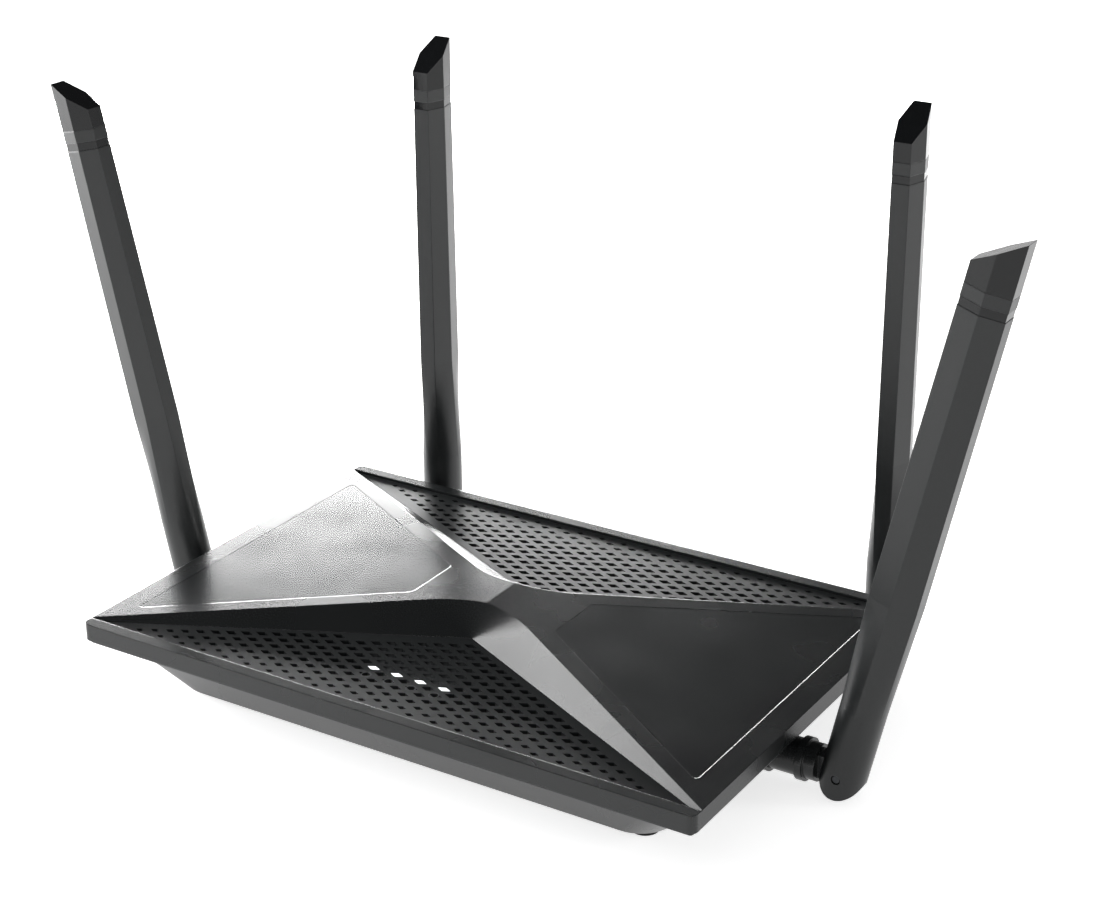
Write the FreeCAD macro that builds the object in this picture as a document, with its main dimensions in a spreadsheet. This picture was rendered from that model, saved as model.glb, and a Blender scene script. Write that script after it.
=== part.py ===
import FreeCAD, Part
import math
import os
import re
import Sketcher
from FreeCAD import Placement, Rotation, Vector

# A four-antenna wireless router, in millimetres. X runs to the right, Y to the back and Z up.
# The origin is under the middle of the whole router, on the table.

doc = FreeCAD.newDocument("wireless_router")
sheet = doc.addObject("Spreadsheet::Sheet", "sizes")

DRIVING = {
    # Case: the rim is the widest outline; the roof rises from it to a peak at the middle.
    "case_wide": 230.0, "case_deep": 154.0, "rim_high": 26.5, "roof_rise": 8.1, "corner_round": 2.5,
    "band_tall": 6.0, "lip_tall": 1.3, "lip_inset": 1.4, "wall_thick": 2.0, "seat_gap": 0.15,
    # The lower case narrows from just under the rim down to its floor.
    "foot_tall": 2.0, "foot_radius": 4.5, "foot_apart_x": 170.0, "foot_apart_y": 104.0,
    "upper_inset": 6.0, "side_taper": 16.0, "front_taper": 11.0, "back_inset": 5.0, "hull_round": 12.0,
    # Grilles: two triangles, each with its apex near the middle of the roof.
    "grille_drop": 0.9, "grille_thick": 1.6, "grille_border": 4.4, "grille_side": 2.0, "apex_back": 17.7,
    "ledge_wide": 2.2, "ledge_thick": 1.6, "foot_round": 1.5, "crest_half": 2.7, "crest_round": 60.0,
    "hole_pitch_x": 9.03, "hole_pitch_y": 4.69, "hole_wide": 5.2, "hole_deep": 2.6,
    "edge_hole_wide": 3.0, "edge_hole_deep": 1.6, "hole_margin": 1.2,
    # Inlay panels in the two roof slopes.
    "panel_thick": 1.0, "panel_slope": 0.62, "panel_inset": 6.0, "panel_inner": 28.0, "panel_outer": 106.0,
    "panel_round": 5.0,
    # Status lights shine through the front grille.
    "light_row_y": 50.8, "light_middle_x": -1.7, "light_apart": 9.03, "light_wide": 4.6, "light_deep": 2.2,
    "light_gap": 0.15,
    # Antennas: the tilt pivots, the leans at rest and the blades.
    "side_pivot_out": 13.2, "side_pivot_y": 4.9, "back_standoff": 13.3, "pivot_high": 9.5,
    "back_left_x": 86.0, "back_right_x": 98.0, "side_lean": 12.6,
    "blade_wide": 15.5, "blade_across": 11.0, "blade_flat": 6.2, "tip_wide": 14.4, "tip_across": 10.0,
    "base_radius": 7.3,
    "base_round_up": 24.0, "fade_up": 62.0, "antenna_reach": 176.5, "top_slant": 10.0,
    "cap_tall": 6.5, "band_strip": 4.2, "ring_tall": 2.7, "blade_wall": 1.6, 
    "hub_radius": 6.0, "collar_radius": 7.0, "collar_tall": 2.4, "collar_gap": 4.2, "knuckle_gap": 0.3,
    "tongue_thick": 5.6, "tongue_radius": 4.0, "slot_gap": 0.3, "pin_radius": 1.5, "pin_fit": 0.05,
    "spindle_radius": 3.0, "spindle_fit": 0.05, "bore_radius": 1.0, 
    "strip_wide": 5.0, "strip_thick": 1.0,
    # Main board and what stands on it.
    "board_wide": 152.0, "board_deep": 124.0, "board_thick": 1.6, "post_tall": 2.5, "post_radius": 3.5,
    "board_screw_x": 71.0, "board_screw_y": 42.0, "screw_radius": 1.25, "head_radius": 2.5, "head_tall": 1.6,
    "port_wide": 15.2, "port_deep": 21.0, "port_tall": 11.0, "port_gap": 0.3, "socket_wide": 11.8,
    "socket_tall": 7.6, "socket_deep": 14.0, "lan_middle_x": 14.0, "wan_middle_x": -28.0,
    "usb_middle_x": -48.0, "usb_wide": 14.4, "usb_tall": 7.0, "usb_deep": 14.0, "usb_wall": 0.6,
    "jack_middle_x": 57.0, "jack_wide": 9.0, "jack_tall": 10.6, "jack_deep": 14.0, "jack_bore": 3.15,
    "jack_bore_deep": 9.5, "jack_pin": 1.0,
    "power_middle_x": 70.5, "power_wide": 7.0, "power_travel": 2.0, "button_gap": 0.25, "button_out": 3.2,
    "wps_middle_x": -62.0, "wps_radius": 2.6, "reset_middle_x": -71.0, "reset_radius": 1.2,
    "tact_travel": 0.5, "button_high": 14.2, "stem_long": 6.0,
    "sink_wide": 34.0, "sink_deep": 28.0, "sink_tall": 8.0, "fin_pitch": 4.0, "fin_thick": 1.2,
    "sink_base": 2.0, "pad_thick": 0.6, "chip_wide": 19.0, "chip_tall": 1.2,
    # Openings in the floor and the wall-hanging keyholes.
    "vent_long": 26.0, "vent_wide": 2.4, "vent_pitch": 6.0, "key_apart": 120.0, "key_hole": 4.0,
    "key_slot": 2.2, "key_long": 8.0, "key_y": 20.0,
    "vent_middle_x": 36.0, "screw_boss": 3.5, "case_screw_x": 86.0, "case_screw_y": 40.0,
    # Antenna sockets, light pipes and small fits.
    "socket_radius": 7.2, "socket_long": 13.0, "side_socket_x": 91.0, "back_round": 4.0, "press_gap": 0.01,
    "hole_grow": 18.0, "lamp_tall": 1.0, "pipe_bar": 2.0, "ring_inset": 0.12, "pin_half": 6.9, "pin_chamfer": 0.3,
    "strip_low": 40.0, "strip_long": 104.0, "strip_gap": 0.3, "socket_key": 4.0, "socket_key_tall": 1.2,
    "usb_tongue_back": 3.0, "usb_tongue_thick": 1.8, "button_lip": 1.0, "flange_thick": 1.2,
    "stem_half": 1.5, "switch_wide": 9.0, "switch_deep": 9.0, "switch_well": 7.0, "tact_wide": 6.0,
    "tact_deep": 4.0, "sink_x": 18.0, "sink_y": 4.0, "memory_wide": 11.0, "memory_deep": 13.0,
    "can_wide": 30.0, "can_deep": 26.0, "can_tall": 3.0, "can_x": 53.0, "can_y": 26.0,
    "magnet_wide": 13.0, "magnet_deep": 8.0, "magnet_tall": 5.0, "capacitor_radius": 3.15, "capacitor_apart": 8.0,
    "capacitor_tall": 8.0,
}

DERIVED = {
    "middle_y": "-(back_standoff + blade_wide / 2) / 2",
    "floor_high": "foot_tall + wall_thick",
    "band_low": "rim_high - band_tall",
    "lip_low": "rim_high - band_tall - lip_tall",
    "board_low": "foot_tall + wall_thick + post_tall",
    "board_top": "foot_tall + wall_thick + post_tall + board_thick",
    "back_wall_y": "middle_y + case_deep / 2 - back_inset",
    "board_y": "middle_y + case_deep / 2 - back_inset - wall_thick - 0.5 - board_deep / 2",
    "side_pivot_x": "case_wide / 2 + side_pivot_out",
    "back_pivot_y": "middle_y + case_deep / 2 + back_standoff",
}


def formula(text):
    """Put the sheet's name before each size in a formula; every size has an underscore."""
    return re.sub(r"[a-z]+_\w+", lambda word: "sizes." + word.group(), text)


def fill_sheet():
    """Write each driving number and each derived formula beside its alias."""
    rows = list(DRIVING.items()) + list(DERIVED.items())
    for row, (alias, value) in enumerate(rows, start=1):
        sheet.set(f"A{row}", alias)
        sheet.setAlias(f"B{row}", alias)
    doc.recompute()
    for row, (alias, value) in enumerate(rows, start=1):
        if alias in DRIVING:
            sheet.set(f"B{row}", str(value))
        else:
            sheet.set(f"B{row}", "=" + value)
    doc.recompute()


def size(alias):
    """The number that the sheet holds for one alias."""
    return float(sheet.get(alias))


def bind(item, **formulas):
    """Tie properties of an object to formulas of the sheet."""
    for key, text in formulas.items():
        item.setExpression(key, formula(text))


def move(item, x, y, z):
    """Tie an object's position to formulas of the sheet."""
    item.setExpression("Placement.Base.x", formula(x))
    item.setExpression("Placement.Base.y", formula(y))
    item.setExpression("Placement.Base.z", formula(z))


def box(name, wide, deep, tall, x, y, z):
    """A box centred on (x, y) that stands on z."""
    item = doc.addObject("Part::Box", name)
    bind(item, Length=wide, Width=deep, Height=tall)
    move(item, f"{x} - ({wide}) / 2", f"{y} - ({deep}) / 2", z)
    return item


def cylinder(name, radius, tall, x, y, z, axis=Vector(0, 0, 1)):
    """A cylinder that starts at (x, y, z) and runs along the axis."""
    item = doc.addObject("Part::Cylinder", name)
    bind(item, Radius=radius, Height=tall)
    item.Placement = Placement(Vector(), Rotation(Vector(0, 0, 1), axis))
    move(item, x, y, z)
    return item


def fuse(name, items):
    """One object of several that touch or overlap."""
    item = doc.addObject("Part::MultiFuse", name)
    item.Shapes = items
    item.Refine = True
    return item


def group(name, items):
    """Like pieces kept together as separate solids of one node."""
    item = doc.addObject("Part::Compound", name)
    item.Links = items
    return item


def cut(name, base, tools):
    """An object with several others taken out of it."""
    tool = tools[0]
    if len(tools) > 1:
        tool = group(name + "_tools", tools)
    item = doc.addObject("Part::Cut", name)
    item.Base = base
    item.Tool = tool
    return item


def feature(name, shape, place=None):
    """An object whose shape is built from the sheet's numbers with Part's functions."""
    item = doc.addObject("Part::Feature", name)
    item.Shape = shape
    if place is not None:
        item.Placement = place
    return item


def prism(points, low, high):
    """A straight prism over a closed outline in plan."""
    corners = [Vector(x, y, low) for x, y in points]
    wire = Part.makePolygon(corners + corners[:1])
    return Part.Face(wire).extrude(Vector(0, 0, high - low))


def rounded_wire(points, radii, height):
    """A closed outline in plan with each corner rounded by its own radius."""
    edges = []
    ends = []
    count = len(points)
    for index in range(count):
        corner = Vector(*points[index], height)
        before = (Vector(*points[index - 1], height) - corner).normalize()
        after = (Vector(*points[(index + 1) % count], height) - corner).normalize()
        half = before.getAngle(after) / 2
        reach = radii[index] / math.tan(half)
        middle = corner + (before + after).normalize() * (radii[index] / math.sin(half) - radii[index])
        start = corner + before * reach
        finish = corner + after * reach
        ends.append((start, middle, finish))
    for index in range(count):
        start, middle, finish = ends[index]
        edges.append(Part.Arc(start, middle, finish).toShape())
        edges.append(Part.makeLine(finish, ends[(index + 1) % count][0]))
    return Part.Wire(edges)


def rounded_prism(points, radii, low, high):
    """A straight prism over an outline with rounded corners."""
    return Part.Face(rounded_wire(points, radii, low)).extrude(Vector(0, 0, high - low))


def rectangle(left, right, front, back):
    """The four corners of a rectangle in plan."""
    return [(left, front), (right, front), (right, back), (left, back)]


# ---------------------------------------------------------------- case

def case_place():
    """The case's own middle, seen from the origin."""
    return Placement(Vector(0, size("middle_y"), 0), Rotation())


def triangle(inset):
    """Plan corners of the front grille's seat, drawn in by an inset: left, right and apex."""
    half = size("case_wide") / 2 - size("grille_side")
    near = size("grille_border") - size("case_deep") / 2
    apex = -size("apex_back")
    leg = math.hypot(half, apex - near)
    inner = 2 * half * (apex - near) / (2 * half + 2 * leg)
    middle = near + inner
    share = (inner - inset) / inner
    front = middle + (near - middle) * share
    return [(-half * share, front), (half * share, front), (0, middle + (apex - middle) * share)]


def wall_cutter(drop):
    """What the sloped wall in front of the roof leaves free, lowered by a drop."""
    left, right, apex = triangle(0)
    steep = (apex[1] - right[1]) / right[0]
    rise = size("roof_rise") + size("grille_drop")
    lean = (size("apex_back") - size("crest_half")) / rise
    reach = size("case_wide")
    above = 1.0
    wires = []
    for up, round_off in ((0, size("foot_round")), (rise + above, size("crest_round"))):
        tip = apex[1] + lean * up
        outline = [(0, tip), (-reach, tip - steep * reach), (-reach, -2 * reach), (reach, -2 * reach)]
        outline.append((reach, tip - steep * reach))
        height = size("rim_high") - size("grille_drop") - drop + up
        wires.append(rounded_wire(outline, [round_off, 1, 1, 1, 1], height))
    return Part.makeLoft(wires, True, True)


def both_ends(shape):
    """A front shape and its twin at the back."""
    twin = shape.copy()
    twin.rotate(Vector(), Vector(0, 0, 1), 180)
    return [shape, twin]


def gable(drop, low):
    """The two roof slopes over the whole case, lowered by a drop, down to a low plane."""
    half = size("case_wide") / 2
    rim = size("rim_high") - drop
    deep = size("case_deep")
    outline = [(-half, low), (-half, rim), (0, rim + size("roof_rise")), (half, rim), (half, low)]
    corners = [Vector(x, -deep / 2, z) for x, z in outline]
    face = Part.Face(Part.makePolygon(corners + corners[:1]))
    return face.extrude(Vector(0, deep, 0))


def case_outline(inset, low, high):
    """The rim's rectangle, drawn in by an inset, as an upright prism."""
    half = size("case_wide") / 2 - inset
    deep = size("case_deep") / 2 - inset
    radius = max(size("corner_round") - inset, 0.4)
    return rounded_prism(rectangle(-half, half, -deep, deep), [radius] * 4, low, high)


def panel_outline(grow):
    """Plan corners of the right inlay panel, grown all round."""
    slope = size("panel_slope")
    slant = math.hypot(slope, 1)
    inner = size("panel_inner") - grow
    outer = size("panel_outer") + grow
    near = slope * inner - size("panel_inset") + grow * slant
    far = slope * outer - size("panel_inset") + grow * slant
    return [(inner, -near), (outer, -far), (outer, far), (inner, near)]


def panel_prism(grow, low, high):
    """The right inlay panel's outline as an upright prism."""
    radius = size("panel_round")
    radii = [radius / 2, radius / 4, radius / 4, radius / 2]
    return rounded_prism(panel_outline(grow), radii, low, high)


def make_top_cover():
    """The upper shell: a rim band, two roof slopes, sloped walls and seats for grilles and panels."""
    rim = size("rim_high")
    top = rim + size("roof_rise") + 2
    low = size("band_low")
    wall = size("wall_thick")
    seat = rim - size("grille_drop") - size("grille_thick")
    shelf = seat - size("ledge_thick")
    slopes = gable(0, low).common(case_outline(0, low, top))
    solid = slopes.cut(both_ends(wall_cutter(0))).fuse(case_outline(0, low, rim))
    strip = size("case_deep") / 2 - size("grille_border")
    trimmer = prism(rectangle(-size("case_wide"), size("case_wide"), -strip, 0), low, top)
    solid = solid.cut(both_ends(wall_cutter(0).common(trimmer)))
    solid = solid.cut(both_ends(prism(triangle(0), seat, rim - size("grille_drop") + 0.01)))
    hollow = gable(wall, low - 1).common(case_outline(wall, low - 1, top))
    hollow = hollow.cut(both_ends(wall_cutter(wall)))
    hollow = hollow.cut(both_ends(prism(triangle(-size("ledge_wide")), shelf, top)))
    solid = solid.cut(hollow)
    solid = solid.cut(both_ends(prism(triangle(size("ledge_wide")), low - 1, top)))
    for seat_shape in both_ends(panel_prism(size("seat_gap"), low, top)):
        sunk = gable(size("panel_thick"), low - 1)
        solid = solid.cut(seat_shape.cut(sunk))
    bosses = []
    for x in (-1, 1):
        for y in (-1, 1):
            place = Vector(x * size("case_screw_x"), y * size("case_screw_y"), size("floor_high"))
            column = Part.makeCylinder(size("screw_boss"), top - size("floor_high"), place)
            bosses.append(column.common(gable(wall / 2, 0)))
    solid = solid.fuse(bosses)
    for x in (-1, 1):
        for y in (-1, 1):
            place = Vector(x * size("case_screw_x"), y * size("case_screw_y"), 0)
            depth = size("floor_high") + size("stem_long") + 1
            solid = solid.cut(Part.makeCylinder(size("screw_radius"), depth, place))
    return solid.removeSplitter()


def inside(x, y, margin):
    """Whether a point lies inside the front grille's outline by a margin."""
    left, right, apex = triangle(size("seat_gap") + margin)
    if y < right[1]:
        return False
    return abs(x) < right[0] * (apex[1] - y) / (apex[1] - right[1])


def rhombus(x, y, wide, deep, height):
    """A diamond outline in plan about (x, y)."""
    corners = [(x - wide / 2, y), (x, y - deep / 2), (x + wide / 2, y), (x, y + deep / 2)]
    points = [Vector(px, py, height) for px, py in corners]
    return Part.makePolygon(points + points[:1])


def light_places():
    """The middles of the four status windows."""
    pitch = size("light_apart")
    return [(size("light_middle_x") + (index - 1.5) * pitch, -size("light_row_y")) for index in range(4)]


def grille_holes(height):
    """Diamond holes in staggered rows that shrink towards the rim."""
    first = light_places()[0]
    near = triangle(0)[0][1]
    rows = int(size("case_deep") / size("hole_pitch_y"))
    columns = int(size("case_wide") / size("hole_pitch_x"))
    holes = []
    for row in range(-rows, rows):
        y = first[1] + row * size("hole_pitch_y") / 2
        share = min(1, max(0, (y - near) / size("hole_grow")))
        wide = size("edge_hole_wide") + (size("hole_wide") - size("edge_hole_wide")) * share
        deep = size("edge_hole_deep") + (size("hole_deep") - size("edge_hole_deep")) * share
        for column in range(-columns, columns):
            x = first[0] + (column + 0.5 * (row % 2)) * size("hole_pitch_x")
            if inside(x, y, size("hole_margin") + deep / 2):
                holes.append(rhombus(x, y, wide, deep, height))
    return holes


def make_grille():
    """A flat triangular plate with its field of diamond holes."""
    low = size("rim_high") - size("grille_drop") - size("grille_thick")
    corners = [Vector(x, y, low) for x, y in triangle(size("seat_gap"))]
    outline = Part.makePolygon(corners + corners[:1])
    face = Part.makeFace([outline] + grille_holes(low), "Part::FaceMakerCheese")
    return face.extrude(Vector(0, 0, size("grille_thick")))


def make_panel():
    """A thin plate that lies flush in the right roof slope."""
    top = size("rim_high") + size("roof_rise") + 2
    column = panel_prism(0, size("band_low"), top)
    return column.common(gable(0, 0)).cut(gable(size("panel_thick"), 0))


def hull(inset, low, high):
    """The lower case between two heights, drawn in by an inset all round."""
    wires = []
    for height in (low, high):
        share = (size("lip_low") - height) / (size("lip_low") - size("foot_tall"))
        half = size("case_wide") / 2 - size("upper_inset") - size("side_taper") * share - inset
        front = size("case_deep") / 2 - size("upper_inset") - size("front_taper") * share - inset
        back = size("case_deep") / 2 - size("back_inset") - inset
        radii = [size("hull_round") - inset] * 2 + [size("back_round") - inset / 2] * 2
        wires.append(rounded_wire(rectangle(-half, half, -front, back), radii, height))
    return Part.makeLoft(wires, True, True)


def make_lower_shell():
    """The tapered tray with its lip and the four antenna sockets, before its openings are cut."""
    wall = size("wall_thick")
    band_low = size("band_low")
    outer = hull(0, size("foot_tall"), size("lip_low"))
    lip = case_outline(size("lip_inset"), size("lip_low"), band_low)
    outer = outer.fuse(lip)
    inner = hull(wall, size("floor_high"), band_low)
    sockets = []
    for socket in socket_rods(size("socket_radius"), 0, 0):
        sockets.append(socket)
    shell = outer.cut(inner).fuse(sockets)
    bores = socket_rods(size("hub_radius") + size("press_gap"), 10, 10)
    return shell.cut(bores).removeSplitter()


def socket_rods(radius, before, after):
    """Rods on the four antenna axes, through the case's walls; drawn about the case's middle."""
    rods = []
    pivot = size("pivot_high")
    long = size("socket_long") + before + after
    side_start = size("side_socket_x") - before
    for turn, x in ((1, side_start), (-1, -side_start)):
        start = Vector(x, -size("side_pivot_y"), pivot)
        rods.append(Part.makeCylinder(radius, long, start, Vector(turn, 0, 0)))
    back_start = size("case_deep") / 2 - size("back_inset") - size("socket_long") - before
    for x in (-size("back_left_x"), size("back_right_x")):
        rods.append(Part.makeCylinder(radius, long, Vector(x, back_start, pivot), Vector(0, 1, 0)))
    return rods


def make_case():
    """The two case halves, the grilles, the inlay panels, the light pipes and the feet."""
    place = case_place()
    turned = Placement(place.Base, Rotation(Vector(0, 0, 1), 180))
    feature("top_cover", make_top_cover(), place)
    feature("front_grille", make_grille_with_lights(), place)
    feature("back_grille", make_grille(), turned)
    feature("right_panel", make_panel(), place)
    feature("left_panel", make_panel(), turned)
    feature("light_pipes", make_light_pipes(), place)
    shell = feature("lower_shell", make_lower_shell(), place)
    tools = floor_openings() + back_openings()
    tray = cut("lower_tray", shell, tools)
    posts = []
    for index, (x, y) in enumerate(board_screw_places()):
        post = cylinder(f"post_{index}", "post_radius", "post_tall + 0.2", x, y, "floor_high - 0.2")
        posts.append(post)
    with_posts = fuse("tray_with_posts", [tray] + posts)
    drills = []
    for index, (x, y) in enumerate(board_screw_places()):
        drills.append(cylinder(f"post_drill_{index}", "screw_radius", "post_tall", x, y, "floor_high"))
    cut("bottom_case", with_posts, drills)
    feet = []
    for index, (x, y) in enumerate(corners("foot_apart_x / 2", "foot_apart_y / 2")):
        feet.append(cylinder(f"foot_{index}", "foot_radius", "foot_tall", x, y, "0"))
    group("rubber_feet", feet)


def corners(half_x, half_y):
    """Formulas of four places about the case's middle."""
    places = []
    for sign_x in ("-", "+"):
        for sign_y in ("-", "+"):
            places.append((f"0 {sign_x} {half_x}", f"middle_y {sign_y} {half_y}"))
    return places


def board_screw_places():
    """Formulas of the four places where the main board is screwed down."""
    places = []
    for sign_x in ("-", "+"):
        for sign_y in ("-", "+"):
            places.append((f"0 {sign_x} board_screw_x", f"board_y {sign_y} board_screw_y"))
    return places


def make_grille_with_lights():
    """The front grille; the holes of its light row fit the light pipes."""
    low = size("rim_high") - size("grille_drop") - size("grille_thick")
    plate = make_grille()
    gap = 2 * size("light_gap")
    tools = []
    for x, y in light_places():
        wire = rhombus(x, y, size("light_wide") + gap, size("light_deep") + gap, low)
        tools.append(Part.Face(wire).extrude(Vector(0, 0, size("grille_thick"))))
    return plate.cut(tools)


def make_light_pipes():
    """Four clear diamond posts on one bar under the front grille."""
    low = size("board_top") + size("lamp_tall") + size("light_gap")
    under = size("rim_high") - size("grille_drop") - size("grille_thick")
    top = under + size("grille_thick")
    posts = []
    for x, y in light_places():
        wire = rhombus(x, y, size("light_wide"), size("light_deep"), low)
        posts.append(Part.Face(wire).extrude(Vector(0, 0, top - low)))
    places = light_places()
    half = size("light_deep") / 2 + 0.6
    edge = size("light_wide") / 2
    bar = rectangle(places[0][0] - edge, places[-1][0] + edge, places[0][1] - half, places[0][1] + half)
    return prism(bar, under - size("pipe_bar"), under).fuse(posts).removeSplitter()


# ---------------------------------------------------------------- antennas
# Each antenna is drawn about its own tilt pivot: the connector axis runs along +X away from the case,
# the tilt pin along Y and the upright antenna along +Z. It is then turned and moved to its corner.

ANTENNAS = {
    "right": (0, "side_lean", "side_pivot_x", "middle_y - side_pivot_y"),
    "left": (180, "side_lean", "-side_pivot_x", "middle_y - side_pivot_y"),
    "back_right": (90, None, "back_right_x", "back_pivot_y"),
    "back_left": (90, None, "-back_left_x", "back_pivot_y"),
}


def seat_antenna_piece(item, name, leans, own_turn=Rotation()):
    """Turn and move one piece from its own frame to its antenna's place."""
    turn, lean, x, y = ANTENNAS[name]
    rotation = Rotation(Vector(0, 0, 1), turn)
    if leans and lean:
        rotation = rotation.multiply(Rotation(Vector(0, 1, 0), size(lean)))
    rotation = rotation.multiply(own_turn)
    item.Placement = Placement(Vector(), rotation)
    move(item, x, y, "pivot_high")


def blade_share(height):
    """How far a height lies between the blade's foot and its tip."""
    return (height - size("fade_up")) / (size("antenna_reach") - size("fade_up"))


def blade_outline(height, inset=0):
    """The long hexagon of the blade at a height, as a closed wire."""
    share = blade_share(height)
    wide = size("blade_wide") + (size("tip_wide") - size("blade_wide")) * share - 2 * inset
    across = size("blade_across") + (size("tip_across") - size("blade_across")) * share - 2 * inset
    flat = size("blade_flat") / 2 - inset / 2
    corners = [(wide / 2, flat), (0, across / 2), (-wide / 2, flat)]
    corners += [(-x, -y) for x, y in corners]
    points = [Vector(x, y, height) for x, y in corners]
    return Part.makePolygon(points + points[:1])


def blade(low, high, inset=0):
    """The blade between two heights."""
    return Part.makeLoft([blade_outline(low, inset), blade_outline(high, inset)], True, True)


def round_outline(height):
    """A circle cut into six arcs that face the six sides of the blade."""
    radius = size("base_radius")
    first = math.degrees(math.atan2(size("blade_flat") / 2, size("blade_wide") / 2))
    turns = [first, 90, 180 - first, 180 + first, 270, 360 - first, 360 + first]
    edges = []
    for start, finish in zip(turns[:-1], turns[1:]):
        edges.append(Part.makeCircle(radius, Vector(0, 0, height), Vector(0, 0, 1), start, finish))
    return Part.Wire(edges)


def make_sleeve():
    """The moulded blade: a round slotted base, a stretch where it fades, and the long hexagon."""
    radius = size("base_radius")
    fork = size("tongue_thick") / 2 + size("slot_gap")
    open_up = size("tongue_radius") + size("slot_gap")
    round_top = size("base_round_up")
    base = Part.makeCylinder(radius, radius + round_top, Vector(0, 0, -radius))
    heel = Part.makeCylinder(radius, 2 * radius, Vector(0, -radius, 0), Vector(0, 1, 0))
    heel = heel.fuse(Part.makeBox(2 * radius, 2 * radius, round_top, Vector(-radius, -radius, 0)))
    base = base.common(heel)
    fade = Part.makeLoft([round_outline(round_top), blade_outline(size("fade_up"))], True, True)
    body = base.fuse([fade, blade(size("fade_up"), sleeve_top())])
    reach = 2 * radius
    slot = Part.makeBox(reach + open_up, 2 * fork, reach + open_up, Vector(-reach, -fork, -reach))
    hole_radius = size("pin_radius") + size("press_gap")
    hole = Part.makeCylinder(hole_radius, 4 * radius, Vector(0, -2 * radius, 0), Vector(0, 1, 0))
    strip = strip_box(size("strip_gap"))
    return body.cut([slot, hole, strip]).removeSplitter()


def sleeve_top():
    """The height where the sleeve ends and the ring begins."""
    low_side = size("antenna_reach") - size("top_slant") / 2
    return low_side - size("cap_tall") - size("band_strip") - size("ring_tall")


def strip_box(gap):
    """The radiator's strip inside the sleeve, grown by a gap except at its foot."""
    wide = size("strip_wide") + 2 * gap
    thick = size("strip_thick") + 2 * gap
    low = size("strip_low")
    tall = size("strip_long") + gap
    return Part.makeBox(wide, thick, tall, Vector(-wide / 2, -thick / 2, low))


def make_cap():
    """The glossy tip with its flat slanted top, low on the side that faces the case."""
    start = sleeve_top() + size("ring_tall") + size("band_strip")
    top = size("antenna_reach")
    body = blade(start, top + size("top_slant"))
    reach = size("blade_wide")
    slant = size("top_slant") / size("tip_wide")
    corners = [(-reach, top - slant * reach), (reach, top + slant * reach), (reach, top + 3 * reach)]
    corners.append((-reach, top + 3 * reach))
    points = [Vector(x, -reach, z) for x, z in corners]
    wedge = Part.Face(Part.makePolygon(points + points[:1])).extrude(Vector(0, 2 * reach, 0))
    return body.cut(wedge)


def make_antenna(name):
    """One antenna with its hub in the case, its swivel knuckle, its pin, its blade and its trim."""
    side = "blade_wide / 2"
    collar_x = f"-({side}) - collar_gap - collar_tall"
    socket_back = "back_standoff + back_inset + socket_long"
    if name in ("left", "right"):
        socket_back = "side_pivot_x - side_socket_x"
    along = Vector(1, 0, 0)
    hub_end = f"{collar_x} - knuckle_gap"
    hub_long = f"({socket_back}) + ({hub_end})"
    rod = cylinder(f"{name}_hub_rod", "hub_radius", hub_long, f"-({socket_back})", "0", "0", along)
    bore = cylinder(f"{name}_hub_bore", "spindle_radius + spindle_fit", hub_long,
                    f"-({socket_back})", "0", "0", along)
    hub = cut(f"{name}_hub", rod, [bore])
    seat_antenna_piece(hub, name, False)

    head_x = f"-({socket_back}) - knuckle_gap - head_tall"
    head = cylinder(f"{name}_spindle_head", "spindle_radius + 1", "head_tall", head_x, "0", "0", along)
    spindle = cylinder(f"{name}_spindle", "spindle_radius", f"-({head_x}) + {collar_x} + 0.1",
                       head_x, "0", "0", along)
    collar = cylinder(f"{name}_collar", "collar_radius", "collar_tall", collar_x, "0", "0", along)
    barrel = cylinder(f"{name}_barrel", "hub_radius", "collar_tall + collar_gap - knuckle_gap",
                      collar_x, "0", "0", along)
    tongue_long = f"{side} + knuckle_gap + 0.2"
    arm = box(f"{name}_arm", tongue_long, "tongue_thick", "2 * tongue_radius",
              f"-({tongue_long}) / 2", "0", "-tongue_radius")
    nose = cylinder(f"{name}_nose", "tongue_radius", "tongue_thick", "0", "-tongue_thick / 2", "0",
                    Vector(0, 1, 0))
    solid = fuse(f"{name}_knuckle_solid", [head, spindle, collar, barrel, arm, nose])
    eye = cylinder(f"{name}_eye", "pin_radius + pin_fit", "2 * tongue_thick", "0", "-tongue_thick", "0",
                   Vector(0, 1, 0))
    knuckle = cut(f"{name}_knuckle", solid, [eye])
    seat_antenna_piece(knuckle, name, False)

    nose_cut = "pin_radius - pin_chamfer"
    end = "pin_half - pin_chamfer"
    half_outline = [("-pin_half", "0 * pin_half"), ("0 + pin_half", "0 * pin_half"), ("0 + pin_half", nose_cut),
                    (end, "0 + pin_radius"), (f"-({end})", "0 + pin_radius"), ("-pin_half", nose_cut)]
    pin = turned_body(f"{name}_pin", half_outline)
    seat_antenna_piece(pin, name, True, Rotation(Vector(0, 0, 1), 90))
    start = sleeve_top()
    band_start = start + size("ring_tall")
    pieces = {
        "sleeve": make_sleeve(),
        "ring": blade(start, band_start, size("ring_inset")),
        "band": blade(band_start, band_start + size("band_strip")),
        "cap": make_cap(),
        "radiator": strip_box(0),
    }
    for piece_name, shape in pieces.items():
        piece = feature(f"{name}_{piece_name}", shape)
        seat_antenna_piece(piece, name, True)


# ---------------------------------------------------------------- openings and ports

LAN_PORTS = 4


def back_box(name, x, wide, tall, low, depth="back_inset + wall_thick"):
    """A cut through the back wall, centred on x."""
    return box(name, wide, f"2 * ({depth})", tall, x, "back_wall_y", low)


def back_rod(name, x, radius):
    """A round cut through the back wall at the buttons' height."""
    return cylinder(name, radius, "2 * back_inset + 2 * wall_thick", x,
                    "back_wall_y - back_inset - wall_thick", "button_high", Vector(0, 1, 0))


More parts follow.
